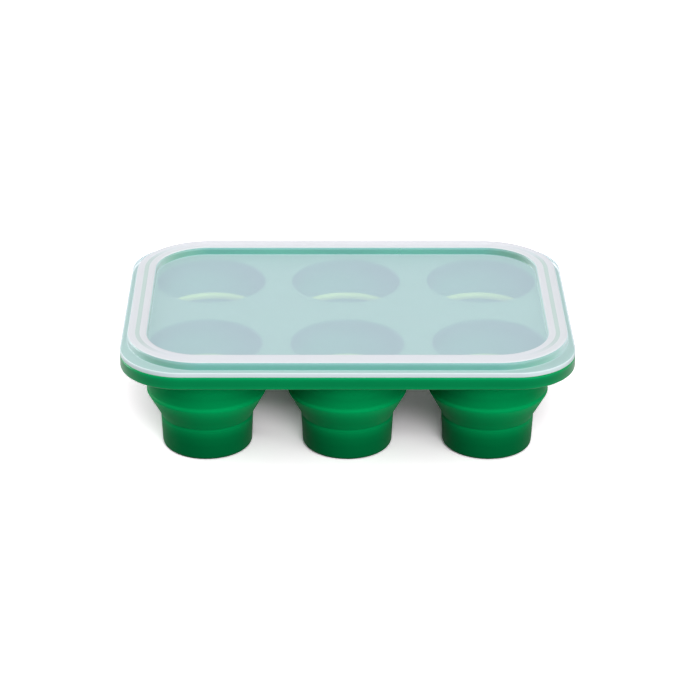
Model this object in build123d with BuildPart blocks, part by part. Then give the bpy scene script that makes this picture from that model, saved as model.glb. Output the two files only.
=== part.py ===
from build123d import *
import os

os.makedirs("parts", exist_ok=True)

# A freezer tray in millimetres. X runs along the three columns of cups, Y from the front to the back,
# and Z up from the surface that the cups stand on. The origin is under the middle of the tray.

# Outline that the rim and the lid share
tray_length = 210.0
tray_depth = 149.0
corner_radius = 29.0

# Places of the cups: deck left free round the group, and at least this much between neighbours
column_names = ("left", "middle", "right")
row_names = ("front", "back")
side_margin = 11.7
end_margin = 11.0
column_web = 10.8
row_web = 17.0

# Heights of a cup's three bands
base_height = 14.7
fold_height = 13.6
collar_height = 20.5

# Steps, walls and roundings of a cup
fold_step = 6.0
foot_taper = 0.6
cup_wall = 1.7
base_floor = 1.8
foot_rounding = 2.2
inner_foot_rounding = 2.0

# Fold lines: a shallow groove with a rounded bead just below it
groove_depth = 0.5
groove_slope = 0.8
bead_drop = 1.5
bead_rounding = 2.0

# Deck, the thick rim round it, and the mouths of the cups
deck_thickness = 2.2
rim_drop = 3.9
rim_width = 6.0
rim_rounding = 0.8
mouth_rounding = 1.6

# Lid
lid_wall = 1.2
edge_height = 2.4
edge_width = 1.4
edge_rounding = 0.5
ridge_inset = 2.9
ridge_width = 9.4
ridge_height = 4.0
ridge_radius = 34.5
ridge_rounding = 1.4
ridge_foot_rounding = 0.6
channel_rounding = 0.4

# Lip of the tray, which follows the lid's ridge inside it, and the two ribs of the ridge that hold it
lip_inset = 6.1
lip_width = 2.0
lip_rounding = 0.6
lip_clearance = 0.3
lip_headroom = 0.3
rib_width = 0.8
rib_height = 1.6

# Stiffening ring sealed inside the rim
insert_width = 3.0
insert_height = 3.0
insert_cover = 1.4
insert_clearance = 0.1

# Levels
fold_top = base_height + fold_height
deck_bottom = fold_top + collar_height
deck_top = deck_bottom + deck_thickness
rim_bottom = deck_bottom - rim_drop
plate_top = deck_top + edge_height
plate_bottom = plate_top - lid_wall
ridge_top = plate_top + ridge_height
channel_top = ridge_top - lid_wall
lip_top = channel_top - lip_headroom
rib_bottom = channel_top - rib_height
insert_bottom = rim_bottom + insert_cover

# Insets from the outline
ridge_inner = ridge_inset + ridge_width
channel_outer = ridge_inset + lid_wall
channel_inner = ridge_inner - lid_wall
lip_inner = lip_inset + lip_width
grip_outer = lip_inset - lip_clearance
grip_inner = lip_inner + lip_clearance
insert_outer = (rim_width - insert_width) / 2
insert_inner = (rim_width + insert_width) / 2
frame_outer = ridge_inset - 2 * ridge_foot_rounding
frame_inner = ridge_inner + 2 * ridge_foot_rounding

# The cups are as wide as the deck has room for, and spread evenly between its margins
column_count = len(column_names)
row_count = len(row_names)
grid_length = tray_length - 2 * side_margin
grid_depth = tray_depth - 2 * end_margin
length_room = (grid_length - (column_count - 1) * column_web) / column_count
depth_room = (grid_depth - (row_count - 1) * row_web) / row_count
collar_radius = min(length_room, depth_room) / 2
column_pitch = (grid_length - 2 * collar_radius) / (column_count - 1)
row_pitch = (grid_depth - 2 * collar_radius) / (row_count - 1)

# Radii that follow from the collar's
collar_bore = collar_radius - cup_wall
base_radius = collar_radius - fold_step
base_bore = base_radius - cup_wall
foot_radius = base_radius - foot_taper
foot_bore = foot_radius - cup_wall

# Upright plane across the rim at the middle of the front side: its X is the inset, its Y the height
rim_section = Plane(origin=(0, -tray_depth / 2, 0), x_dir=(0, 1, 0), z_dir=(1, 0, 0))


def write(piece, label):
    """Names a finished piece and writes it to a file of its own."""
    piece.part.label = label
    export_step(piece.part, f"parts/{label}.step")


def make_path(inset, radius):
    """Makes a closed path at an inset, from the middle of the front side and round to the right."""
    half_length = tray_length / 2 - inset
    half_depth = tray_depth / 2 - inset
    with BuildLine() as path:
        FilletPolyline(
            (0, -half_depth),
            (half_length, -half_depth),
            (half_length, half_depth),
            (-half_length, half_depth),
            (-half_length, -half_depth),
            radius=[0] + 4 * [radius],
            close=True,
        )
    return path.line


def draw_outline(inset, mode=Mode.ADD):
    """Draws the outline moved inwards by an inset."""
    RectangleRounded(tray_length - 2 * inset, tray_depth - 2 * inset, corner_radius - inset, mode=mode)


def draw_ridge_line(inset, mode=Mode.ADD):
    """Draws the line of the lid's ridge, whose corners are wider than the outline's, at an inset."""
    radius = ridge_radius + ridge_inset - inset
    RectangleRounded(tray_length - 2 * inset, tray_depth - 2 * inset, radius, mode=mode)


def draw_profile(*corners):
    """Draws a closed profile from its corners: a distance, a height and the radius that rounds each."""
    points = [(across, up) for across, up, rounding in corners]
    roundings = [rounding for across, up, rounding in corners]
    with BuildLine() as profile:
        FilletPolyline(*points, radius=roundings, close=True)
    make_face(profile.edges())


def make_collar(label, section, axis):
    """Makes the upper band of a cup, which hangs from the deck and stays still."""
    with BuildPart() as collar:
        with BuildSketch(section):
            draw_profile(
                (collar_bore, fold_top, 0),
                (collar_radius - groove_depth, fold_top, 0),
                (collar_radius, fold_top + groove_slope, groove_slope),
                (collar_radius, deck_bottom, 0),
                (collar_bore, deck_bottom, 0),
            )
        revolve(axis=axis)
    write(collar, label)


def make_fold(label, section, axis):
    """Makes the middle band of a cup, a cone that turns inside out between its two fold lines."""
    with BuildPart() as fold:
        with BuildSketch(section):
            draw_profile(
                (base_bore, base_height, 0),
                (base_radius - groove_depth, base_height, 0),
                (collar_radius, fold_top - bead_drop, bead_rounding),
                (collar_radius - groove_depth, fold_top, 0),
                (collar_bore, fold_top, 0),
            )
        revolve(axis=axis)
    write(fold, label)


def make_base(label, section, axis):
    """Makes the lower band of a cup with its floor, which is pushed up through the collar."""
    with BuildPart() as base:
        with BuildSketch(section):
            draw_profile(
                (0, 0, 0),
                (foot_radius, 0, foot_rounding),
                (base_radius, base_height - bead_drop, bead_rounding),
                (base_radius - groove_depth, base_height, 0),
                (base_bore, base_height, 0),
                (foot_bore, base_floor, inner_foot_rounding),
                (0, base_floor, 0),
            )
        revolve(axis=axis)
    write(base, label)


# Paths that the rim and the ridge are swept along
rim_path = make_path(0, corner_radius)
ridge_path = make_path(ridge_inset, ridge_radius)

# Deck: rim and seat for the lid in one section round the outline, the lip, and the plate inside them
with BuildPart() as deck:
    with BuildSketch(rim_section):
        draw_profile(
            (0, rim_bottom, rim_rounding),
            (0, deck_top, rim_rounding),
            (lip_inner, deck_top, 0),
            (lip_inner, deck_bottom, 0),
            (rim_width, deck_bottom, rim_rounding),
            (rim_width, rim_bottom, rim_rounding),
        )
    sweep(path=rim_path)
    with BuildSketch(rim_section):
        draw_profile(
            (lip_inset, deck_bottom, 0),
            (lip_inset, lip_top, lip_rounding),
            (lip_inner, lip_top, lip_rounding),
            (lip_inner, deck_bottom, 0),
        )
    sweep(path=ridge_path)
    with BuildSketch(Plane.XY.offset(deck_bottom)):
        draw_outline(rim_width)
    extrude(amount=deck_thickness)
    with BuildSketch(Plane.XY.offset(deck_bottom)):
        with GridLocations(column_pitch, row_pitch, column_count, row_count):
            Circle(collar_bore)
    extrude(amount=deck_thickness, mode=Mode.SUBTRACT)
    mouths = deck.edges().filter_by(lambda edge: edge.is_closed).group_by(Axis.Z)[-1]
    fillet(mouths, radius=mouth_rounding)
    with BuildSketch(Plane.XY.offset(insert_bottom)):
        draw_outline(insert_outer - insert_clearance)
        draw_outline(insert_inner + insert_clearance, mode=Mode.SUBTRACT)
    extrude(amount=insert_height, mode=Mode.SUBTRACT)
write(deck, "deck")

# Stiffening ring inside the rim
with BuildPart() as rim_insert:
    with BuildSketch(Plane.XY.offset(insert_bottom)):
        draw_outline(insert_outer)
        draw_outline(insert_inner, mode=Mode.SUBTRACT)
    extrude(amount=insert_height)
write(rim_insert, "rim_insert")

# Lid: edge round the outline, hollow ridge on its own line, and the flange and panel on both sides of it
with BuildPart() as lid:
    with BuildSketch(rim_section):
        draw_profile(
            (0, deck_top, edge_rounding),
            (0, plate_top, edge_rounding),
            (ridge_inset, plate_top, 0),
            (ridge_inset, plate_bottom, 0),
            (edge_width, plate_bottom, 0),
            (edge_width, deck_top, 0),
        )
    sweep(path=rim_path)
    with BuildSketch(rim_section):
        draw_profile(
            (frame_outer, plate_bottom, 0),
            (frame_outer, plate_top, 0),
            (ridge_inset, plate_top, ridge_foot_rounding),
            (ridge_inset, ridge_top, ridge_rounding),
            (ridge_inner, ridge_top, ridge_rounding),
            (ridge_inner, plate_top, ridge_foot_rounding),
            (frame_inner, plate_top, 0),
            (frame_inner, plate_bottom, 0),
            (channel_inner, plate_bottom, 0),
            (channel_inner, channel_top, channel_rounding),
            (grip_inner + rib_width, channel_top, 0),
            (grip_inner + rib_width, rib_bottom, 0),
            (grip_inner, rib_bottom, 0),
            (grip_inner, channel_top, 0),
            (grip_outer, channel_top, 0),
            (grip_outer, rib_bottom, 0),
            (grip_outer - rib_width, rib_bottom, 0),
            (grip_outer - rib_width, channel_top, 0),
            (channel_outer, channel_top, channel_rounding),
            (channel_outer, plate_bottom, 0),
        )
    sweep(path=ridge_path)
    with BuildSketch(Plane.XY.offset(plate_bottom)):
        draw_outline(edge_width)
        draw_ridge_line(ridge_inset, mode=Mode.SUBTRACT)
        draw_ridge_line(ridge_inner)
    extrude(amount=lid_wall)
write(lid, "lid")

# Cups: three bands each, stacked edge to edge at the fold lines
for column, column_name in enumerate(column_names):
    for row, row_name in enumerate(row_names):
        cup_x = (column - (column_count - 1) / 2) * column_pitch
        cup_y = (row - (row_count - 1) / 2) * row_pitch
        cup_section = Plane(origin=(cup_x, cup_y, 0), x_dir=(1, 0, 0), z_dir=(0, -1, 0))
        cup_axis = Axis((cup_x, cup_y, 0), (0, 0, 1))
        cup_name = f"{row_name}_{column_name}"
        make_collar(f"{cup_name}_collar", cup_section, cup_axis)
        make_fold(f"{cup_name}_fold", cup_section, cup_axis)
        make_base(f"{cup_name}_base", cup_section, cup_axis)
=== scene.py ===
"""Looks of a freezer tray: six folding silicone cups that hang from one deck, under a frosted lid.

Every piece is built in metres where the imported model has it, and rides on that model's bodies.
"""

from __future__ import annotations

import logging
import math
from dataclasses import dataclass, field
from enum import Enum, IntEnum
from typing import Callable, Sequence

import bmesh
import bpy
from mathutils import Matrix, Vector

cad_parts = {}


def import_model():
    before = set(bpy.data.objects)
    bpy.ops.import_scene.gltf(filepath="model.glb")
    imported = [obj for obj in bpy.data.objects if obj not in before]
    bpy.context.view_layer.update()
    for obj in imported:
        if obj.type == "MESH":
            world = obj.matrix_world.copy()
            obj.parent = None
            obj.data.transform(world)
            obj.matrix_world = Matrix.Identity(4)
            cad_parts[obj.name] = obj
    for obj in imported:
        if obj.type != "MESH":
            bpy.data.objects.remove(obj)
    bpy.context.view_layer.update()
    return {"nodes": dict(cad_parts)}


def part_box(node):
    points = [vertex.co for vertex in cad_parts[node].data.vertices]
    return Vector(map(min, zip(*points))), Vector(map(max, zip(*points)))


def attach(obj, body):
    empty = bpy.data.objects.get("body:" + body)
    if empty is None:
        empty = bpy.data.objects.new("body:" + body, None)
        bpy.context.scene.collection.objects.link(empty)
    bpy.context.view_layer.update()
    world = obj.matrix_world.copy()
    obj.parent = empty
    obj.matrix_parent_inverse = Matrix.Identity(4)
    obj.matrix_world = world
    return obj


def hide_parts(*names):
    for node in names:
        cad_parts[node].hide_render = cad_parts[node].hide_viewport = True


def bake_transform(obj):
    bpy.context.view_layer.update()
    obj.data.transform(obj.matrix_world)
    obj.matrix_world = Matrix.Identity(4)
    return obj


Colour = tuple[float, float, float]
Tree = bpy.types.NodeTree
Node = bpy.types.Node
Socket = bpy.types.NodeSocket
Material = bpy.types.Material
Piece = bpy.types.Object
Mesh = bmesh.types.BMesh
Edge = bmesh.types.BMEdge
Vert = bmesh.types.BMVert
Face = bmesh.types.BMFace

log = logging.getLogger("freezer_tray")

MM = 0.001
UP = Vector((0.0, 0.0, 1.0))
RIGHT = Vector((1.0, 0.0, 0.0))
QUARTER_TURN = math.tau / 4.0
MERGE_DISTANCE = 0.004 * MM
CREASE_ANGLE = math.radians(34.0)

# Lines that the deck and the lid share
CORNER_RADIUS = 29.0 * MM
RIDGE_INSET = 2.9 * MM
RIDGE_RADIUS = 34.5 * MM
LIP_INSET = 6.1 * MM
LIP_WIDTH = 2.0 * MM
CUP_NAMES = tuple(f"{row}_{column}" for row in ("front", "back") for column in ("left", "middle", "right"))

# Upward part of a face's normal: more on a floor or a top, and less on a wall or an underside
FLOOR_LEVEL = 0.9
TOP_LEVEL = math.cos(math.radians(45.0))
WALL_LEVEL = math.cos(math.radians(40.0))
UNDERSIDE_LEVEL = -0.5

# Octaves of the slow and of the fine noise
DRIFT_DETAIL = 3.0
GRAIN_DETAIL = 2.0

# Between facing the viewer and edge-on, where a clear wall begins to look thicker and where it ends
EDGE_ON_BLEND = 0.5
EDGE_ON_SPAN = (0.15, 0.75)


@dataclass(frozen=True)
class Corner:
    """One corner of a section: its distance across, its height, and the radius that rounds it."""

    across: float
    up: float
    rounding: float = 0.0


@dataclass(frozen=True)
class Grain:
    """Fine surface texture of a moulding.

    Attributes:
        scale: Grains in a metre.
        depth: Height of a grain in metres.
        drift_scale: Slow patches in a metre, over which tone and gloss change.
        tone_swing: Share by which the colour gets lighter or darker over a patch.
        gloss_swing: Amount by which the roughness changes over a patch.
    """

    scale: float
    depth: float
    drift_scale: float
    tone_swing: float
    gloss_swing: float


@dataclass(frozen=True)
class FadeOut:
    """Turns a finish into another towards the front and the back of the tray.

    Attributes:
        near: Distance from the middle along Y at which the change begins.
        far: Distance at which it is complete.
        colour: Colour there, linear.
        alpha: How much of what lies behind is hidden there.
    """

    near: float
    far: float
    colour: Colour
    alpha: float


def map_range(
    tree: Tree,
    value: Socket,
    low: float,
    high: float,
    span: tuple[float, float] = (0.0, 1.0),
    interpolation: str = "LINEAR",
) -> Socket:
    """Adds a node that takes a value from its own range to another.

    Args:
        tree: Node tree.
        value: Output with the value.
        low: Result at the start of the value's range.
        high: Result at its end.
        span: The value's range.
        interpolation: How the result runs between the two.

    Returns:
        Output with the result.
    """
    node = tree.nodes.new("ShaderNodeMapRange")
    node.interpolation_type = interpolation
    for name, number in zip(("From Min", "From Max", "To Min", "To Max"), (*span, low, high)):
        node.inputs[name].default_value = number
    tree.links.new(value, node.inputs["Value"])
    return node.outputs["Result"]


@dataclass(frozen=True)
class Finish:
    """A moulded plastic or silicone surface.

    Attributes:
        name: Name of the material.
        colour: Colour of the body of the material, linear.
        roughness: Middle roughness.
        grain: Fine texture.
        specular: Strength of the reflection.
        specular_tint: Colour of the reflection seen straight on.
        alpha: How much of what lies behind is hidden.
        edge_on_alpha: The same where a clear wall is seen edge-on, or none if it doesn't change.
        side_painted_reflection: Paler colour of the walls that face left and right, a painted reflection of
            the white surroundings, or none if they are like the others.
        fade_out: Change towards the front and the back, or none.
        painted_shading: Heights in metres, from low to high, and the share of the colour that shows there,
            which paints shade and highlights by height.
    """

    name: str
    colour: Colour
    roughness: float
    grain: Grain
    specular: float = 0.5
    specular_tint: Colour = (1.0, 1.0, 1.0)
    alpha: float = 1.0
    edge_on_alpha: float | None = None
    side_painted_reflection: Colour | None = None
    fade_out: FadeOut | None = None
    painted_shading: tuple[tuple[float, float], ...] = ()

    def make(self) -> Material:
        """Builds a node material with this finish."""
        return Surface(self).build()


@dataclass
class Surface:
    """Nodes that give a material its finish, on the piece's own coordinates.

    Attributes:
        finish: Finish to give.
    """

    finish: Finish

    def __post_init__(self) -> None:
        """Starts the material, with the slow noise that its tone and gloss follow."""
        self.material = bpy.data.materials.new(self.finish.name)
        self.material.use_nodes = True
        self.tree = self.material.node_tree
        self.shader = self.tree.nodes["Principled BSDF"]
        self.place = self.tree.nodes.new("ShaderNodeTexCoord")
        self.drift = self._noise(self.finish.grain.drift_scale, DRIFT_DETAIL)

    def build(self) -> Material:
        """Adds what the finish asks for.

        Returns:
            The finished material.
        """
        finish = self.finish
        self._add_tone_and_painted_shading()
        # Walls that face left and right are blended to a paler colour, a painted reflection.
        if finish.side_painted_reflection is not None:
            self._blend_colour(self._length_along("Normal", "X"), finish.side_painted_reflection)
        self._add_gloss()
        self._add_grain()
        self.shader.inputs["Specular IOR Level"].default_value = finish.specular
        self.shader.inputs["Specular Tint"].default_value = (*finish.specular_tint, 1.0)
        self.shader.inputs["Alpha"].default_value = finish.alpha
        if finish.edge_on_alpha is not None:
            self._thicken_edge_on()
        if finish.fade_out is not None:
            self._fade_out(finish.fade_out)
        return self.material

    def _feed(self, value: Socket, name: str) -> None:
        """Links an output to an input of the surface shader."""
        self.tree.links.new(value, self.shader.inputs[name])

    def _noise(self, scale: float, detail: float) -> Socket:
        """Adds a noise texture.

        Args:
            scale: Patches in a metre.
            detail: Octaves of the noise.

        Returns:
            Output with the noise.
        """
        noise = self.tree.nodes.new("ShaderNodeTexNoise")
        noise.inputs["Scale"].default_value = scale
        noise.inputs["Detail"].default_value = detail
        self.tree.links.new(self.place.outputs["Object"], noise.inputs["Vector"])
        return noise.outputs["Fac"]

    def _length_along(self, vector: str, axis: str) -> Socket:
        """Adds nodes that measure a vector along one axis, whichever way it points.

        Args:
            vector: Name of the texture coordinate.
            axis: Name of the axis.

        Returns:
            Output with the length.
        """
        split = self.tree.nodes.new("ShaderNodeSeparateXYZ")
        self.tree.links.new(self.place.outputs[vector], split.inputs["Vector"])
        length = self.tree.nodes.new("ShaderNodeMath")
        length.operation = "ABSOLUTE"
        self.tree.links.new(split.outputs[axis], length.inputs[0])
        return length.outputs["Value"]

    def _add_tone_and_painted_shading(self) -> None:
        """Lets the colour drift lighter and darker at random, and where the finish says so, paints shade and
        highlights into it by height.
        """
        swing = self.finish.grain.tone_swing
        ramp = self.tree.nodes.new("ShaderNodeValToRGB")
        for stop, share in zip(ramp.color_ramp.elements, (1.0 - swing, 1.0 + swing)):
            stop.color = (*(part * share for part in self.finish.colour), 1.0)
        self.tree.links.new(self.drift, ramp.inputs["Fac"])
        if not self.finish.painted_shading:
            self._feed(ramp.outputs["Color"], "Base Color")
            return
        # Multiplies the colour by the painted shading by height.
        depth = self.tree.nodes.new("ShaderNodeVectorMath")
        depth.operation = "MULTIPLY"
        self.tree.links.new(ramp.outputs["Color"], depth.inputs[0])
        self.tree.links.new(self._painted_shading_by_height(), depth.inputs[1])
        self._feed(depth.outputs["Vector"], "Base Color")

    def _painted_shading_by_height(self) -> Socket:
        """Adds nodes that give the painted shading at each height: painted shade and painted highlights.

        Returns:
            Output with the painted shading as a colour.
        """
        painted_shading = self.finish.painted_shading
        lowest, highest = painted_shading[0][0], painted_shading[-1][0]
        ramp = self.tree.nodes.new("ShaderNodeValToRGB")
        stops = ramp.color_ramp.elements
        for height, _ in painted_shading[1:-1]:
            stops.new((height - lowest) / (highest - lowest))
        for stop, (_, tone) in zip(stops, painted_shading):
            stop.color = (tone, tone, tone, 1.0)
        share = map_range(self.tree, self._length_along("Object", "Z"), 0.0, 1.0, (lowest, highest))
        self.tree.links.new(share, ramp.inputs["Fac"])
        return ramp.outputs["Color"]

    def _blend_colour(self, share: Socket, colour: Colour) -> None:
        """Blends the colour so far with another.

        Args:
            share: Output with the other colour's share.
            colour: The other colour.
        """
        blend = self.tree.nodes.new("ShaderNodeMixRGB")
        blend.inputs["Color2"].default_value = (*colour, 1.0)
        self.tree.links.new(share, blend.inputs["Fac"])
        self.tree.links.new(self.shader.inputs["Base Color"].links[0].from_socket, blend.inputs["Color1"])
        self._feed(blend.outputs["Color"], "Base Color")

    def _add_gloss(self) -> None:
        """Lets the roughness drift about its middle value."""
        middle, swing = self.finish.roughness, self.finish.grain.gloss_swing
        self._feed(map_range(self.tree, self.drift, middle - swing, middle + swing), "Roughness")

    def _add_grain(self) -> None:
        """Adds the fine moulded grain."""
        bump = self.tree.nodes.new("ShaderNodeBump")
        bump.inputs["Strength"].default_value = 1.0
        bump.inputs["Distance"].default_value = self.finish.grain.depth
        self.tree.links.new(self._noise(self.finish.grain.scale, GRAIN_DETAIL), bump.inputs["Height"])
        self._feed(bump.outputs["Normal"], "Normal")

    def _thicken_edge_on(self) -> None:
        """Hides more of what lies behind a clear wall where it is seen edge-on, through more plastic."""
        view = self.tree.nodes.new("ShaderNodeLayerWeight")
        view.inputs["Blend"].default_value = EDGE_ON_BLEND
        alphas = self.finish.alpha, self.finish.edge_on_alpha
        self._feed(map_range(self.tree, view.outputs["Facing"], *alphas, EDGE_ON_SPAN, "SMOOTHSTEP"), "Alpha")

    def _fade_out(self, fade: FadeOut) -> None:
        """Turns the finish into another towards the front and the back.

        Args:
            fade: What it turns into, and where.
        """
        distance = self._length_along("Object", "Y")
        span = (fade.near, fade.far)
        self._blend_colour(map_range(self.tree, distance, 0.0, 1.0, span), fade.colour)
        self._feed(map_range(self.tree, distance, self.finish.alpha, fade.alpha, span), "Alpha")


SATIN_GRAIN = Grain(scale=2600.0, depth=0.006 * MM, drift_scale=55.0, tone_swing=0.05, gloss_swing=0.05)
FROST_GRAIN = Grain(scale=3400.0, depth=0.008 * MM, drift_scale=70.0, tone_swing=0.02, gloss_swing=0.06)
MOULDED_GRAIN = Grain(scale=1800.0, depth=0.01 * MM, drift_scale=40.0, tone_swing=0.03, gloss_swing=0.06)

# Painted shading of the cups' outside by height: painted shade that darkens towards the foot, painted
# highlights on the beads at the two fold lines, and painted light under the rim that lifts its shadow.
CUP_PAINTED_SHADING = (
    (0.0 * MM, 0.33),
    (7.0 * MM, 0.34),
    (11.0 * MM, 0.40),
    (13.7 * MM, 0.54),
    (14.7 * MM, 0.65),
    (16.0 * MM, 0.56),
    (17.4 * MM, 0.65),
    (20.0 * MM, 0.62),
    (23.5 * MM, 0.72),
    (27.7 * MM, 1.04),
    (28.5 * MM, 0.86),
    (31.0 * MM, 0.70),
    (34.0 * MM, 0.65),
    (37.5 * MM, 0.79),
    (40.0 * MM, 0.95),
)
# Painted shading of the rim by height: painted highlights on its lower and upper rounded edges, darker
# between them.
RIM_PAINTED_SHADING = (
    (44.9 * MM, 1.4),
    (45.9 * MM, 1.1),
    (47.0 * MM, 0.87),
    (48.7 * MM, 0.84),
    (49.9 * MM, 1.04),
    (50.6 * MM, 1.2),
)
# Painted shading inside the cups by height: painted shade near the floor of the cup and deeper painted shade
# at the mouth.
INNER_PAINTED_SHADE = (
    (1.8 * MM, 0.8),
    (30.0 * MM, 1.0),
    (40.0 * MM, 1.0),
    (48.8 * MM, 0.55),
)


class CupZone(IntEnum):
    """Zones of a cup: its outside, its inside, and the bead inside its upper fold line, painted pale as a
    painted glow of light shining through it.
    """

    WALL = 0
    INNER = 1
    PAINTED_GLOW_BEAD = 2


class DeckZone(IntEnum):
    """Zones of the deck: what is handled, the top under the lid, painted paler as a painted sheen, and the
    mouths of the cups, painted dark as painted shade.
    """

    RIM = 0
    TOP = 1
    MOUTH = 2


# A shaded copy of the green silicone for the inside of the cups and the mouths, with painted shade by height.
SHADED_INNER_SILICONE = Finish(
    name="shaded_inner_green_silicone",
    colour=(0.0, 0.24, 0.08),
    roughness=0.45,
    grain=SATIN_GRAIN,
    specular=0.2,
    painted_shading=INNER_PAINTED_SHADE,
)
CUP_FINISHES = {
    CupZone.WALL: Finish(
        name="green_silicone", colour=(0.0, 0.36, 0.10), roughness=0.45, grain=SATIN_GRAIN, specular=0.05,
        specular_tint=(0.05, 0.75, 0.4), painted_shading=CUP_PAINTED_SHADING),
    CupZone.INNER: SHADED_INNER_SILICONE,
    # The inner bead is painted pale yellow-green, a painted glow of light shining through the silicone.
    CupZone.PAINTED_GLOW_BEAD: Finish(
        name="painted_glow_bead_silicone", colour=(0.52, 0.84, 0.20), roughness=0.40, grain=SATIN_GRAIN),
}
DECK_FINISHES = {
    DeckZone.RIM: Finish(
        name="green_silicone_rim", colour=(0.0, 0.215, 0.062), roughness=0.30, grain=SATIN_GRAIN,
        specular_tint=(0.05, 0.75, 0.4), painted_shading=RIM_PAINTED_SHADING),
    # The top under the lid is painted paler than the rim, a painted sheen.
    DeckZone.TOP: Finish(
        name="sheen_paled_silicone_deck", colour=(0.06, 0.27, 0.10), roughness=0.34, grain=SATIN_GRAIN),
    # The mouths take the shaded inner silicone, painted dark as painted shade.
    DeckZone.MOUTH: SHADED_INNER_SILICONE,
}
INSERT_PLASTIC = Finish(
    name="natural_plastic",
    colour=(0.72, 0.73, 0.72),
    roughness=0.5,
    grain=MOULDED_GRAIN,
)


class LidZone(IntEnum):
    """Zones of the lid, which differ in how thick and how frosted the plastic is, apart from the skirt, whose
    darker colour is painted shade.

    The groove is the stripe of the ridge that lies over the lip, and the skirt is the inner side of the edge.
    """

    PANEL = 0
    FLANGE = 1
    RIDGE = 2
    GROOVE = 3
    WALL = 4
    EDGE = 5
    INNER = 6
    SKIRT = 7


RIDGE_PLASTIC = Finish(
    name="frosted_ridge",
    colour=(0.68, 0.687, 0.735),
    roughness=0.52,
    grain=FROST_GRAIN,
    alpha=0.92,
)
LID_FINISHES = {
    LidZone.PANEL: Finish(
        name="frosted_panel", colour=(0.63, 0.765, 0.895), roughness=0.50, grain=FROST_GRAIN, alpha=0.56),
    LidZone.FLANGE: Finish(
        name="frosted_flange", colour=(0.63, 0.76, 0.845), roughness=0.50, grain=FROST_GRAIN, alpha=0.60),
    LidZone.RIDGE: RIDGE_PLASTIC,
    LidZone.GROOVE: Finish(
        name="frosted_groove", colour=(0.70, 0.76, 0.80), roughness=0.52, grain=FROST_GRAIN, alpha=0.68,
        fade_out=FadeOut(50.0 * MM, 65.5 * MM, RIDGE_PLASTIC.colour, RIDGE_PLASTIC.alpha)),
    # Clear walls that face left and right are painted paler, a painted reflection.
    LidZone.WALL: Finish(
        name="clear_wall", colour=(0.28, 0.60, 0.72), roughness=0.30, grain=FROST_GRAIN, alpha=0.40,
        edge_on_alpha=0.94, side_painted_reflection=(0.62, 0.76, 0.78)),
    LidZone.EDGE: Finish(
        name="frosted_edge", colour=(0.69, 0.77, 0.82), roughness=0.50, grain=FROST_GRAIN, alpha=0.85),
    LidZone.INNER: Finish(
        name="clear_inner_skin", colour=(0.62, 0.76, 0.80), roughness=0.30, grain=FROST_GRAIN, alpha=0.10),
    # The skirt is painted darker as painted shade.
    LidZone.SKIRT: Finish(
        name="shaded_skirt", colour=(0.20, 0.43, 0.38), roughness=0.34, grain=FROST_GRAIN, alpha=0.88),
}


def draw_section(
    mesh: Mesh, corners: Sequence[Corner], origin: Vector, across: Vector, arc_steps: int
) -> list[Edge]:
    """Draws a closed section in an upright plane and rounds its corners.

    Args:
        mesh: Mesh to draw in.
        corners: Corners in order round the section.
        origin: Point where the distance across is nought, at floor level.
        across: Direction of the distance across.
        arc_steps: Edges in each rounded corner.

    Returns:
        The edges of the section, with no face.
    """
    points = [origin + across * corner.across + UP * corner.up for corner in corners]
    verts = [mesh.verts.new(point) for point in points]
    mesh.faces.new(verts)
    for index, corner in enumerate(corners):
        if corner.rounding:
            arriving = points[index] - points[index - 1]
            leaving = points[(index + 1) % len(points)] - points[index]
            reach = corner.rounding * math.tan(arriving.angle(leaving) / 2.0)
            bmesh.ops.bevel(mesh, geom=[verts[index]], offset=reach, offset_type="OFFSET", segments=arc_steps,
                            profile=0.5, affect="VERTICES", material=-1)
    mesh.faces.ensure_lookup_table()
    edges = list(mesh.faces[-1].edges)
    bmesh.ops.delete(mesh, geom=[mesh.faces[-1]], context="FACES_ONLY")
    return edges


def ends_of(edges: Sequence[Edge]) -> list[Vert]:
    """Lists the vertices of some edges, each once."""
    return list({vert: None for edge in edges for vert in edge.verts})


def revolve(mesh: Mesh, edges: Sequence[Edge], centre: Vector, steps: int) -> None:
    """Turns the edges of a section once round an upright axis through a point."""
    bmesh.ops.spin(mesh, geom=[*ends_of(edges), *edges], cent=centre, axis=UP, angle=math.tau, steps=steps,
                   use_merge=True, use_duplicate=False)


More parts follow.
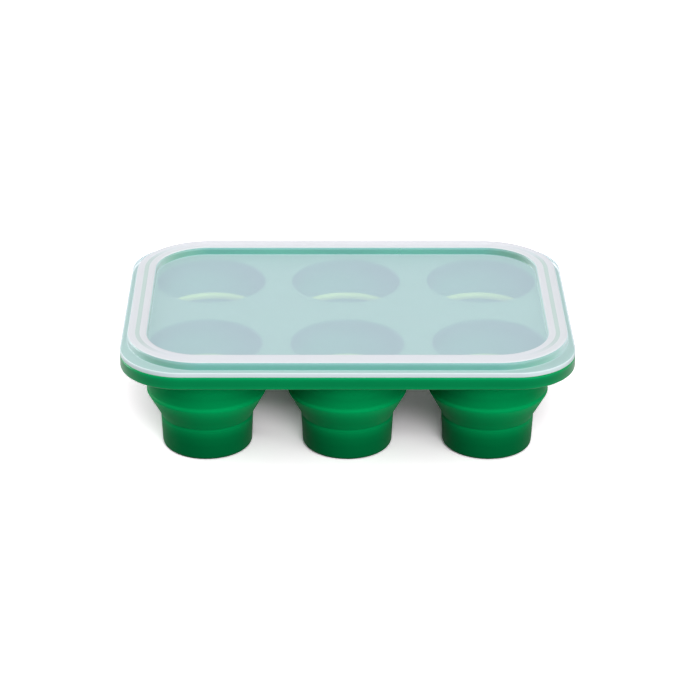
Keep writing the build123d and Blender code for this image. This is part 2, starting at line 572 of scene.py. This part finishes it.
@dataclass(frozen=True)
class Outline:
    """Rounded rectangle that a section is swept round: the rim's outline, or a line inside it.

    Attributes:
        half_length: Half of its size along X.
        half_depth: Half of its size along Y.
        radius: Radius of its corners.
        inset: How far its straight sides lie inside the rim's.
        steps: Faces round each corner.
    """

    half_length: float
    half_depth: float
    radius: float
    inset: float = 0.0
    steps: int = 28

    @property
    def start(self) -> Vector:
        """Point on the rim's front side where the right corner begins, at floor level."""
        return Vector((self.half_length - self.radius, -self.half_depth - self.inset, 0.0))

    @property
    def inwards(self) -> Vector:
        """Direction across the rim at the start."""
        return Vector((0.0, 1.0, 0.0))

    def inner_line(self, inset: float, radius: float) -> Outline:
        """Makes a line inside this one, with corners of its own."""
        return Outline(self.half_length - inset, self.half_depth - inset, radius, inset)

    def past_corner(self, point: Vector) -> Vector:
        """Measures how far a point lies beyond the middles of the corners, along X and along Y."""
        return Vector((
            abs(point.x) - self.half_length + self.radius,
            abs(point.y) - self.half_depth + self.radius,
        ))

    def inset_of(self, point: Vector) -> float:
        """Measures how far a point lies inside the rim, along the lines parallel to this one.

        Args:
            point: Point to measure.

        Returns:
            Its inset, larger towards the middle of the tray.
        """
        past = self.past_corner(point)
        outside = math.hypot(max(past.x, 0.0), max(past.y, 0.0))
        return self.inset + self.radius - outside - min(max(past.x, past.y), 0.0)

    def sweep(self, mesh: Mesh, edges: Sequence[Edge]) -> None:
        """Takes a section that is drawn at the start once round the outline.

        Args:
            mesh: Mesh that holds the section.
            edges: Edges of the section.
        """
        along = self.half_length - self.radius
        deep = self.half_depth - self.radius
        stops = (
            (Vector((along, -deep, 0.0)), Vector((0.0, 2.0 * deep, 0.0))),
            (Vector((along, deep, 0.0)), Vector((-2.0 * along, 0.0, 0.0))),
            (Vector((-along, deep, 0.0)), Vector((0.0, -2.0 * deep, 0.0))),
            (Vector((-along, -deep, 0.0)), Vector((2.0 * along, 0.0, 0.0))),
        )
        last = list(edges)
        for centre, run in stops:
            turned = bmesh.ops.spin(mesh, geom=[*ends_of(last), *last], cent=centre, axis=UP,
                                    angle=QUARTER_TURN, steps=self.steps, use_merge=False,
                                    use_duplicate=False)["geom_last"]
            last = [part for part in turned if isinstance(part, Edge)]
            drawn = bmesh.ops.extrude_edge_only(mesh, edges=last)["geom"]
            last = [part for part in drawn if isinstance(part, Edge)]
            last = [edge for edge in last if all(vert in drawn for vert in edge.verts)]
            bmesh.ops.translate(mesh, vec=run, verts=ends_of(last))
        bmesh.ops.remove_doubles(mesh, verts=mesh.verts, dist=MERGE_DISTANCE)


def runs_between(edge: Edge, low: float, high: float) -> bool:
    """Tells whether an edge runs from one height to another."""
    bottom, top = sorted(vert.co.z for vert in edge.verts)
    return abs(bottom - low) < MERGE_DISTANCE and abs(top - high) < MERGE_DISTANCE


def cut_section(mesh: Mesh, edges: Sequence[Edge], *spans: tuple[float, float]) -> list[Edge]:
    """Removes the edges of a section where it joins a flat plate.

    Args:
        mesh: Mesh that holds the section.
        edges: Edges of the section.
        spans: Lower and upper height of each kind of edge that goes.

    Returns:
        The edges that are left.
    """
    cut = [edge for edge in edges if any(runs_between(edge, low, high) for low, high in spans)]
    left = [edge for edge in edges if edge not in cut]
    bmesh.ops.delete(mesh, geom=cut, context="EDGES")
    return left


def fill_plate(mesh: Mesh, height: float, line: Outline, parting: float = 0.0) -> None:
    """Fills the flat faces at one height, apart outside and inside a parting line.

    Args:
        mesh: Mesh with open loops at that height.
        height: Height above the floor.
        line: Line that insets are measured from.
        parting: Inset of the parting line, which no loop crosses, or nought to fill all faces as one.
    """
    loops = [edge for edge in mesh.edges if len(edge.link_faces) < 2 and runs_between(edge, height, height)]
    outer = {edge for edge in loops if line.inset_of(edge.verts[0].co) < parting}
    for ring in (list(outer), [edge for edge in loops if edge not in outer]):
        if ring:
            bmesh.ops.triangle_fill(mesh, edges=ring, use_beauty=True, use_dissolve=False, normal=UP)


def finish_mesh(mesh: Mesh, name: str) -> Piece:
    """Cleans a mesh, smooths its round faces and makes it an object at the origin.

    Args:
        mesh: Finished mesh, which is freed.
        name: Name of the piece.

    Returns:
        The new object.
    """
    bmesh.ops.remove_doubles(mesh, verts=mesh.verts, dist=MERGE_DISTANCE)
    bmesh.ops.recalc_face_normals(mesh, faces=mesh.faces)
    for face in mesh.faces:
        face.smooth = True
    for edge in mesh.edges:
        edge.smooth = len(edge.link_faces) == 2 and edge.calc_face_angle() < CREASE_ANGLE
    data = bpy.data.meshes.new(name)
    mesh.to_mesh(data)
    mesh.free()
    piece = bpy.data.objects.new(name, data)
    bpy.context.scene.collection.objects.link(piece)
    return piece


def dress_mesh(
    mesh: Mesh, name: str, zone_of: Callable[[Face], IntEnum], finishes: dict[IntEnum, Material]
) -> Piece:
    """Sorts the faces of a mesh into zones, makes it an object and gives each zone its material.

    Args:
        mesh: Finished mesh, which is freed.
        name: Name of the piece.
        zone_of: Chooses the zone that a face belongs to.
        finishes: Material of each zone.

    Returns:
        The new object.
    """
    bmesh.ops.recalc_face_normals(mesh, faces=mesh.faces)
    for face in mesh.faces:
        face.material_index = zone_of(face).value
    piece = finish_mesh(mesh, name)
    for zone in sorted(finishes):
        piece.data.materials.append(finishes[zone])
    log.info("piece %s", piece.name)
    return piece


def corner_pair(node: str) -> tuple[Vector, Vector]:
    """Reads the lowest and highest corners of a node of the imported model."""
    low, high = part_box(node)
    return Vector(low), Vector(high)


class Band(Enum):
    """Bands of a cup, from the deck down."""

    COLLAR = "collar"
    FOLD = "fold"
    BASE = "base"


@dataclass
class Cup:
    """One cup of three bands, of which the lowest is pushed up through the highest.

    Attributes:
        name: Row and column of the cup.
        wall: Thickness of the silicone.
        floor: Thickness of the base.
        hairline: Gap at both ends of the fold, which keeps it off its neighbours when it is inside out.
        steps: Faces round the cup.
    """

    name: str
    wall: float = 1.7 * MM
    floor: float = 1.8 * MM
    foot_taper: float = 0.6 * MM
    foot_rounding: float = 2.2 * MM
    inner_foot_rounding: float = 2.0 * MM
    fold_step: float = 6.0 * MM
    groove_depth: float = 0.15 * MM
    groove_rise: float = 1.25 * MM
    groove_rounding: float = 0.8 * MM
    shoulder_run: float = 1.3 * MM
    shoulder_rounding: float = 3.0 * MM
    bead_half_height: float = 0.35 * MM
    bead_rounding: float = 1.1 * MM
    upper_bead_swell: float = 0.45 * MM
    lower_bead_swell: float = 0.1 * MM
    hairline: float = 0.06 * MM
    inner_bead_low: float = 1.5 * MM
    inner_bead_high: float = 4.7 * MM
    inner_bead_swell: float = 0.6 * MM
    inner_bead_rounding: float = 1.4 * MM
    arc_steps: int = 6
    steps: int = 120
    pieces: dict[Band, Piece] = field(default_factory=dict)

    def __post_init__(self) -> None:
        """Takes the cup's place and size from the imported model."""
        collar_low, collar_high = corner_pair(self.node(Band.COLLAR))
        _, base_high = corner_pair(self.node(Band.BASE))
        self.centre = Vector((
            (collar_low.x + collar_high.x) / 2.0,
            (collar_low.y + collar_high.y) / 2.0,
            0.0,
        ))
        self.radius = (collar_high.x - collar_low.x) / 2.0
        self.bore = self.radius - self.wall
        self.base_radius = self.radius - self.fold_step
        self.foot_radius = self.base_radius - self.foot_taper
        self.deck_bottom = collar_high.z
        self.fold_top = collar_low.z
        self.base_top = base_high.z

    def node(self, band: Band) -> str:
        """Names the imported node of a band."""
        return f"{self.name}_{band.value}"

    @property
    def body(self) -> str:
        """Body that the base moves with."""
        return f"{self.name}_cup"

    def corners(self, band: Band) -> tuple[Corner, ...]:
        """Lists the corners of a band's section.

        Args:
            band: Band to draw.

        Returns:
            Corners from the axis or the bore outwards and round.
        """
        upper_bead = self.radius + self.upper_bead_swell
        lower_bead = self.base_radius + self.lower_bead_swell
        if band is Band.COLLAR:
            groove = self.fold_top + self.groove_rise
            inner_bead_middle = self.fold_top + (self.inner_bead_low + self.inner_bead_high) / 2.0
            return (
                Corner(self.bore, self.fold_top),
                Corner(upper_bead, self.fold_top),
                Corner(upper_bead, self.fold_top + self.bead_half_height, self.bead_rounding),
                Corner(self.radius - self.groove_depth, groove, self.groove_rounding),
                Corner(self.radius, groove + self.shoulder_run, self.shoulder_rounding),
                Corner(self.radius, self.deck_bottom),
                Corner(self.bore, self.deck_bottom),
                Corner(self.bore, self.fold_top + self.inner_bead_high),
                Corner(self.bore - self.inner_bead_swell, inner_bead_middle, self.inner_bead_rounding),
                Corner(self.bore, self.fold_top + self.inner_bead_low),
            )
        if band is Band.FOLD:
            low, high = self.base_top + self.hairline, self.fold_top - self.hairline
            groove = self.base_top + self.groove_rise
            lower_bead -= self.hairline
            upper_bead -= self.hairline
            return (
                Corner(self.base_radius - self.wall, low),
                Corner(lower_bead, low),
                Corner(lower_bead, self.base_top + self.bead_half_height, self.bead_rounding),
                Corner(self.base_radius - self.groove_depth, groove, self.groove_rounding),
                Corner(upper_bead, self.fold_top - self.bead_half_height, self.bead_rounding),
                Corner(upper_bead, high),
                Corner(self.bore, high),
            )
        return (
            Corner(0.0, 0.0),
            Corner(self.foot_radius, 0.0, self.foot_rounding),
            Corner(lower_bead, self.base_top - self.bead_half_height, self.bead_rounding),
            Corner(lower_bead, self.base_top),
            Corner(self.base_radius - self.wall, self.base_top),
            Corner(self.foot_radius - self.wall, self.floor, self.inner_foot_rounding),
            Corner(0.0, self.floor),
        )

    def build_band(self, band: Band, finishes: dict[CupZone, Material]) -> Piece:
        """Turns a band's section round the cup's axis.

        Args:
            band: Band to build.
            finishes: Silicone of each zone.

        Returns:
            The new piece.
        """
        mesh = bmesh.new()
        edges = draw_section(mesh, self.corners(band), self.centre, RIGHT, self.arc_steps)
        on_axis = [edge for edge in edges
                   if all((vert.co - self.centre).xy.length < MERGE_DISTANCE for vert in edge.verts)]
        if on_axis:
            edges = [edge for edge in edges if edge not in on_axis]
            bmesh.ops.delete(mesh, geom=on_axis, context="EDGES")
        revolve(mesh, edges, self.centre, self.steps)
        return dress_mesh(mesh, f"{self.node(band)}_band", self.zone_of, finishes)

    def zone_of(self, face: Face) -> CupZone:
        """Chooses the zone that a face belongs to.

        Args:
            face: Face of the cup.

        Returns:
            The zone.
        """
        middle = face.calc_center_median()
        outwards = (middle - self.centre).xy.dot(face.normal.xy)
        if outwards >= 0.0 and face.normal.z < FLOOR_LEVEL:
            return CupZone.WALL
        on_bead = self.inner_bead_low < middle.z - self.fold_top < self.inner_bead_high
        return CupZone.PAINTED_GLOW_BEAD if on_bead else CupZone.INNER

    def build(self, finishes: dict[CupZone, Material]) -> None:
        """Builds the three bands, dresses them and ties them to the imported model.

        Args:
            finishes: Silicone of each zone.
        """
        for band in Band:
            piece = self.build_band(band, finishes)
            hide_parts(self.node(band))
            self.pieces[band] = piece
        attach(self.pieces[Band.COLLAR], "tray")
        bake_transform(self.pieces[Band.FOLD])
        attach(self.pieces[Band.BASE], self.body)


@dataclass
class Deck:
    """Silicone plate with a thick rim, an upstanding lip and the mouths of the cups.

    Attributes:
        outline: Outline of the rim.
        ridge_line: Line that the lip follows under the lid's ridge.
        cups: Cups that hang from the deck.
        thickness: Thickness of the plate.
        rim_width: Width of the rim.
        lip_inset: Distance from the outline to the lip.
        margin: Flat strip left beside each rounding, where the plate joins it.
    """

    outline: Outline
    ridge_line: Outline
    cups: Sequence[Cup]
    thickness: float = 2.2 * MM
    rim_width: float = 6.0 * MM
    rim_rounding: float = 0.8 * MM
    seat_width: float = 5.0 * MM
    lip_inset: float = LIP_INSET
    lip_width: float = LIP_WIDTH
    lip_rounding: float = 0.6 * MM
    lip_foot_rounding: float = 0.4 * MM
    margin: float = 0.3 * MM
    mouth_rounding: float = 1.6 * MM
    arc_steps: int = 5

    def __post_init__(self) -> None:
        """Takes the deck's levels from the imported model."""
        low, high = corner_pair("deck")
        self.rim_bottom = low.z
        self.lip_top = high.z
        self.bottom = self.cups[0].deck_bottom
        self.top = self.bottom + self.thickness

    def build(self, finishes: dict[DeckZone, Material]) -> Piece:
        """Builds the deck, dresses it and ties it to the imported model.

        Args:
            finishes: Silicone of each zone.

        Returns:
            The new piece.
        """
        mesh = bmesh.new()
        self._add_rim(mesh)
        self._add_lip(mesh)
        for cup in self.cups:
            self._add_mouth(mesh, cup)
        fill_plate(mesh, self.top, self.ridge_line, self.lip_inset)
        fill_plate(mesh, self.bottom, self.outline)
        piece = dress_mesh(mesh, "deck_moulding", self.zone_of, finishes)
        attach(piece, "tray")
        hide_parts("deck")
        return piece

    def zone_of(self, face: Face) -> DeckZone:
        """Chooses the zone that a face belongs to.

        Args:
            face: Face of the deck.

        Returns:
            The zone.
        """
        middle = face.calc_center_median()
        inside_lip = self.ridge_line.inset_of(middle) > self.lip_inset + self.lip_width
        if not inside_lip or middle.z < self.bottom + MERGE_DISTANCE:
            return DeckZone.RIM
        if face.normal.z > TOP_LEVEL:
            return DeckZone.TOP
        return DeckZone.MOUTH if middle.z < self.top else DeckZone.RIM

    def _add_rim(self, mesh: Mesh) -> None:
        """Sweeps the section of the rim and the lid's seat round the outline.

        Args:
            mesh: Mesh of the deck.
        """
        plate_edge = self.rim_width + self.rim_rounding + self.margin
        corners = (
            Corner(0.0, self.rim_bottom, self.rim_rounding),
            Corner(0.0, self.top, self.rim_rounding),
            Corner(self.seat_width, self.top),
            Corner(plate_edge, self.bottom),
            Corner(self.rim_width, self.bottom, self.rim_rounding),
            Corner(self.rim_width, self.rim_bottom, self.rim_rounding),
        )
        edges = draw_section(mesh, corners, self.outline.start, self.outline.inwards, self.arc_steps)
        self.outline.sweep(mesh, cut_section(mesh, edges, (self.bottom, self.top)))

    def _add_lip(self, mesh: Mesh) -> None:
        """Sweeps the section of the lip round the line of the lid's ridge.

        Args:
            mesh: Mesh of the deck.
        """
        foot = self.lip_foot_rounding + self.margin
        lip_inner = self.lip_inset + self.lip_width
        corners = (
            Corner(self.lip_inset - foot, self.bottom),
            Corner(self.lip_inset - foot, self.top),
            Corner(self.lip_inset, self.top, self.lip_foot_rounding),
            Corner(self.lip_inset, self.lip_top, self.lip_rounding),
            Corner(lip_inner, self.lip_top, self.lip_rounding),
            Corner(lip_inner, self.top, self.lip_foot_rounding),
            Corner(lip_inner + foot, self.top),
            Corner(lip_inner + foot, self.bottom),
        )
        edges = draw_section(mesh, corners, self.ridge_line.start, self.ridge_line.inwards, self.arc_steps)
        edges = cut_section(mesh, edges, (self.bottom, self.top), (self.bottom, self.bottom))
        self.ridge_line.sweep(mesh, edges)

    def _add_mouth(self, mesh: Mesh, cup: Cup) -> None:
        """Turns the rounded mouth of a cup round its axis.

        Args:
            mesh: Mesh of the deck.
            cup: Cup below the mouth.
        """
        brim = cup.bore + self.mouth_rounding + self.margin
        corners = (
            Corner(brim, self.bottom),
            Corner(brim, self.top),
            Corner(cup.bore, self.top, self.mouth_rounding),
            Corner(cup.bore, self.bottom),
        )
        edges = draw_section(mesh, corners, cup.centre, RIGHT, self.arc_steps)
        edges = cut_section(mesh, edges, (self.bottom, self.top), (self.bottom, self.bottom))
        revolve(mesh, edges, cup.centre, cup.steps)


@dataclass
class Lid:
    """Frosted lid: a panel with a hollow ridge round it and a flange that rests on the rim.

    Attributes:
        outline: Outline of the lid.
        ridge_line: Line of the ridge's outer side, whose corners are wider than the outline's.
        wall: Thickness of the plastic.
        stripe_margin: How far inside the lip the stripe lies that shows it through the ridge.
        channel_start: Share of the wall past which a face lies in the hollow of the ridge.
    """

    outline: Outline
    ridge_line: Outline
    wall: float = 1.2 * MM
    edge_height: float = 2.4 * MM
    edge_width: float = 1.4 * MM
    edge_rounding: float = 0.5 * MM
    ridge_width: float = 9.4 * MM
    ridge_rounding: float = 1.4 * MM
    ridge_foot_rounding: float = 0.6 * MM
    channel_rounding: float = 0.4 * MM
    lip_inset: float = LIP_INSET
    lip_width: float = LIP_WIDTH
    lip_clearance: float = 0.3 * MM
    stripe_margin: float = 0.6 * MM
    rib_width: float = 0.8 * MM
    rib_height: float = 1.6 * MM
    channel_start: float = 0.9
    arc_steps: int = 6

    def __post_init__(self) -> None:
        """Takes the lid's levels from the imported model."""
        low, high = corner_pair("lid")
        self.edge_bottom = low.z
        self.ridge_top = high.z
        self.plate_top = self.edge_bottom + self.edge_height
        self.plate_bottom = self.plate_top - self.wall
        self.channel_top = self.ridge_top - self.wall
        self.ridge_outer = self.ridge_line.inset
        self.ridge_inner = self.ridge_outer + self.ridge_width
        self.stripe_outer = self.lip_inset + self.stripe_margin
        self.stripe_inner = self.stripe_outer + self.lip_width

    def edge_corners(self) -> tuple[Corner, ...]:
        """Lists the corners of the outer edge's section, from the rim up and round."""
        return (
            Corner(0.0, self.edge_bottom, self.edge_rounding),
            Corner(0.0, self.plate_top, self.edge_rounding),
            Corner(self.edge_width, self.plate_top),
            Corner(self.edge_width, self.plate_bottom),
            Corner(self.edge_width, self.edge_bottom),
        )

    def ridge_corners(self) -> tuple[Corner, ...]:
        """Lists the corners of the ridge's section.

        Returns:
            Corners from the flange over the ridge to the panel, and back through the channel.
        """
        foot = 2.0 * self.ridge_foot_rounding
        bottom, top, crest, ceiling = self.plate_bottom, self.plate_top, self.ridge_top, self.channel_top
        outer, inner = self.ridge_outer, self.ridge_inner
        grip_outer = self.lip_inset - self.lip_clearance
        grip_inner = self.lip_inset + self.lip_width + self.lip_clearance
        rib_bottom = ceiling - self.rib_height
        return (
            Corner(outer - foot, bottom),
            Corner(outer - foot, top),
            Corner(outer, top, self.ridge_foot_rounding),
            Corner(outer, crest, self.ridge_rounding),
            Corner(self.stripe_outer, crest),
            Corner(self.stripe_inner, crest),
            Corner(inner, crest, self.ridge_rounding),
            Corner(inner, top, self.ridge_foot_rounding),
            Corner(inner + foot, top),
            Corner(inner + foot, bottom),
            Corner(inner - self.wall, bottom),
            Corner(inner - self.wall, ceiling, self.channel_rounding),
            Corner(grip_inner + self.rib_width, ceiling),
            Corner(grip_inner + self.rib_width, rib_bottom),
            Corner(grip_inner, rib_bottom),
            Corner(grip_inner, ceiling),
            Corner(grip_outer, ceiling),
            Corner(grip_outer, rib_bottom),
            Corner(grip_outer - self.rib_width, rib_bottom),
            Corner(grip_outer - self.rib_width, ceiling),
            Corner(outer + self.wall, ceiling, self.channel_rounding),
            Corner(outer + self.wall, bottom),
        )

    def zone_of(self, face: Face) -> LidZone:
        """Chooses the zone that a face belongs to.

        Args:
            face: Face of the lid.

        Returns:
            The zone.
        """
        middle = face.calc_center_median()
        inset = self.ridge_line.inset_of(middle)
        steep = abs(face.normal.z) < WALL_LEVEL
        if face.normal.z < UNDERSIDE_LEVEL:
            return LidZone.INNER
        if self.outline.inset_of(middle) < self.edge_rounding:
            return LidZone.EDGE
        plate = LidZone.FLANGE if inset < self.ridge_outer else LidZone.PANEL
        foot = self.ridge_foot_rounding
        if not self.ridge_outer - foot <= inset <= self.ridge_inner + foot:
            return LidZone.SKIRT if steep else plate
        if steep:
            return LidZone.INNER if self._in_channel(inset) else LidZone.WALL
        if middle.z < self.plate_top + foot:
            return plate
        return LidZone.GROOVE if self._over_lip(middle, inset) else LidZone.RIDGE

    def _in_channel(self, inset: float) -> bool:
        """Tells whether an inset lies inside the hollow of the ridge."""
        start = self.wall * self.channel_start
        return self.ridge_outer + start < inset < self.ridge_inner - start

    def _over_lip(self, point: Vector, inset: float) -> bool:
        """Tells whether a point lies over the lip along a short side or round a corner, where it shows."""
        over_stripe = self.stripe_outer < inset < self.stripe_inner
        return over_stripe and self.ridge_line.past_corner(point).x > 0.0

    def build(self, finishes: dict[LidZone, Material]) -> Piece:
        """Builds the lid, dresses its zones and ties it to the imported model.

        Args:
            finishes: Material of each zone.

        Returns:
            The new piece.
        """
        mesh = bmesh.new()
        for line, corners in ((self.outline, self.edge_corners()), (self.ridge_line, self.ridge_corners())):
            edges = draw_section(mesh, corners, line.start, line.inwards, self.arc_steps)
            line.sweep(mesh, cut_section(mesh, edges, (self.plate_bottom, self.plate_top)))
        for level in (self.plate_top, self.plate_bottom):
            fill_plate(mesh, level, self.ridge_line, self.lip_inset)
        piece = dress_mesh(mesh, "lid_moulding", self.zone_of, finishes)
        piece.visible_shadow = False
        piece.visible_diffuse = False
        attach(piece, "lid")
        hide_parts("lid")
        return piece


@dataclass(frozen=True)
class Lamp:
    """A distant soft lamp.

    Attributes:
        name: Name of the lamp.
        level: Light that it gives to a surface that faces it, where one shows a colour as it is written.
        azimuth: Its direction, in degrees to the right of straight in front.
        elevation: Its height in degrees.
        spread: Angle that it covers, in degrees.
    """

    name: str
    level: float
    azimuth: float
    elevation: float
    spread: float

    def build(self) -> None:
        """Adds the lamp to the scene."""
        data = bpy.data.lights.new(self.name, "SUN")
        data.energy = self.level * math.pi
        data.angle = math.radians(self.spread)
        lamp = bpy.data.objects.new(self.name, data)
        azimuth, elevation = math.radians(self.azimuth), math.radians(self.elevation)
        towards = Vector((
            math.sin(azimuth) * math.cos(elevation),
            -math.cos(azimuth) * math.cos(elevation),
            math.sin(elevation),
        ))
        lamp.rotation_euler = towards.to_track_quat("Z", "Y").to_euler()
        bpy.context.scene.collection.objects.link(lamp)


@dataclass
class Stage:
    """Pale floor, white surroundings, soft lamps and the camera.

    Attributes:
        floor_size: Side of the floor in metres.
        floor_colour: Tone of the floor as the camera sees it.
        floor_tint: Share of each part of that tone, which evens out the green light off the cups.
        floor_reflected: Tone of the floor as gloss and glass show it.
        floor_bounce: Tone of the floor as it lights the tray.
        sky_low: Strength of the surroundings as light, at the level of the floor.
        sky_high: Strength of the surroundings as light, straight overhead.
        lamps: Distant soft lamps.
        view_lens: Focal length in millimetres on the sensor below.
        view_shift: How far the picture's middle lies to the right of the lens axis, as a share of its width.
        view_pitch: How far the camera looks down.
        view_aim: Point on the floor that the lens axis meets.
        view_distance: From that point to the camera.
    """

    floor_size: float = 8.0
    floor_segments: int = 4
    floor_roughness: float = 0.9
    floor_colour: float = 1.68
    floor_tint: Colour = (1.0, 0.94, 0.98)
    floor_reflected: float = 0.9
    floor_bounce: float = 0.10
    sky_low: float = 0.08
    sky_high: float = 1.05
    lamps: tuple[Lamp, ...] = (
        Lamp("key_lamp", level=0.46, azimuth=8.0, elevation=35.0, spread=28.0),
        Lamp("side_lamp", level=0.63, azimuth=42.0, elevation=5.0, spread=50.0),
        Lamp("back_lamp", level=0.75, azimuth=-115.0, elevation=5.0, spread=30.0),
    )
    view_lens: float = 135.2
    view_sensor: float = 36.0
    view_shift: float = 0.040
    view_pitch: float = math.radians(25.11)
    view_aim: tuple[float, float, float] = (-0.01184, 0.0643, 0.0)
    view_distance: float = 1.3331

    def build(self) -> None:
        """Builds the floor, the surroundings, the lamps and the camera."""
        self._add_floor()
        self._add_sky()
        for lamp in self.lamps:
            lamp.build()
        self._add_camera()
        bpy.context.scene.view_settings.view_transform = "Standard"

    def _add_floor(self) -> None:
        """Adds the floor that the cups stand on."""
        mesh = bmesh.new()
        segments = self.floor_segments
        bmesh.ops.create_grid(mesh, x_segments=segments, y_segments=segments, size=self.floor_size / 2.0)
        floor = finish_mesh(mesh, "floor")
        material = bpy.data.materials.new("pale_floor")
        material.use_nodes = True
        tree = material.node_tree
        shader = tree.nodes["Principled BSDF"]
        shader.inputs["Roughness"].default_value = self.floor_roughness
        shader.inputs["Specular IOR Level"].default_value = 0.0
        rays = tree.nodes.new("ShaderNodeLightPath").outputs
        reflected = self._largest(tree, rays["Is Glossy Ray"], rays["Is Transmission Ray"])
        seen = map_range(tree, rays["Is Camera Ray"], self.floor_bounce, self.floor_colour)
        mirrored = map_range(tree, reflected, self.floor_bounce, self.floor_reflected)
        tint = tree.nodes.new("ShaderNodeVectorMath")
        tint.operation = "MULTIPLY"
        tint.inputs[1].default_value = self.floor_tint
        tree.links.new(self._largest(tree, seen, mirrored), tint.inputs[0])
        tree.links.new(tint.outputs["Vector"], shader.inputs["Base Color"])
        floor.data.materials.append(material)

    def _add_sky(self) -> None:
        """Adds white surroundings, which the camera and reflections see at full strength."""
        world = bpy.data.worlds.new("white_surroundings")
        world.use_nodes = True
        tree = world.node_tree
        sky = tree.nodes["Background"]
        sky.inputs["Color"].default_value = (1.0, 1.0, 1.0, 1.0)
        place = tree.nodes.new("ShaderNodeTexCoord")
        height = tree.nodes.new("ShaderNodeSeparateXYZ")
        tree.links.new(place.outputs["Generated"], height.inputs["Vector"])
        level = map_range(tree, height.outputs["Z"], self.sky_low, self.sky_high)
        rays = tree.nodes.new("ShaderNodeLightPath").outputs
        seen = rays["Is Camera Ray"], rays["Is Glossy Ray"], rays["Is Transmission Ray"]
        tree.links.new(self._largest(tree, *seen, level), sky.inputs["Strength"])
        bpy.context.scene.world = world

    @staticmethod
    def _largest(tree: Tree, *values: Socket) -> Socket:
        """Adds nodes that give the largest of some values.

        Args:
            tree: Node tree.
            values: Outputs with the values.

        Returns:
            Output with the largest.
        """
        largest, *others = values
        for value in others:
            pick = tree.nodes.new("ShaderNodeMath")
            pick.operation = "MAXIMUM"
            tree.links.new(largest, pick.inputs[0])
            tree.links.new(value, pick.inputs[1])
            largest = pick.outputs["Value"]
        return largest

    def _add_camera(self) -> None:
        """Adds the camera at the photograph's view."""
        data = bpy.data.cameras.new("view")
        data.sensor_width = self.view_sensor
        data.lens = self.view_lens
        data.shift_x = self.view_shift
        camera = bpy.data.objects.new("view", data)
        back = Vector((0.0, -math.cos(self.view_pitch), math.sin(self.view_pitch)))
        camera.location = Vector(self.view_aim) + back * self.view_distance
        camera.rotation_euler = back.to_track_quat("Z", "Y").to_euler()
        bpy.context.scene.collection.objects.link(camera)
        bpy.context.scene.camera = camera


def main() -> None:
    """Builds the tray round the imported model, from the deck to the lid, and sets the stage."""
    logging.basicConfig(level=logging.INFO, format="%(name)s: %(message)s")
    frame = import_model()
    low, high = corner_pair("deck")
    outline = Outline((high.x - low.x) / 2.0, (high.y - low.y) / 2.0, CORNER_RADIUS)
    ridge_line = outline.inner_line(RIDGE_INSET, RIDGE_RADIUS)
    cup_finishes = {zone: finish.make() for zone, finish in CUP_FINISHES.items()}
    cups = [Cup(name) for name in CUP_NAMES]
    for cup in cups:
        cup.build(cup_finishes)
    Deck(outline, ridge_line, cups).build({zone: finish.make() for zone, finish in DECK_FINISHES.items()})
    Lid(outline, ridge_line).build({zone: finish.make() for zone, finish in LID_FINISHES.items()})
    insert = frame["nodes"]["rim_insert"]
    insert.data.materials.clear()
    insert.data.materials.append(INSERT_PLASTIC.make())
    log.info("node %s", insert.name)
    Stage().build()


if __name__ == "__main__":
    main()
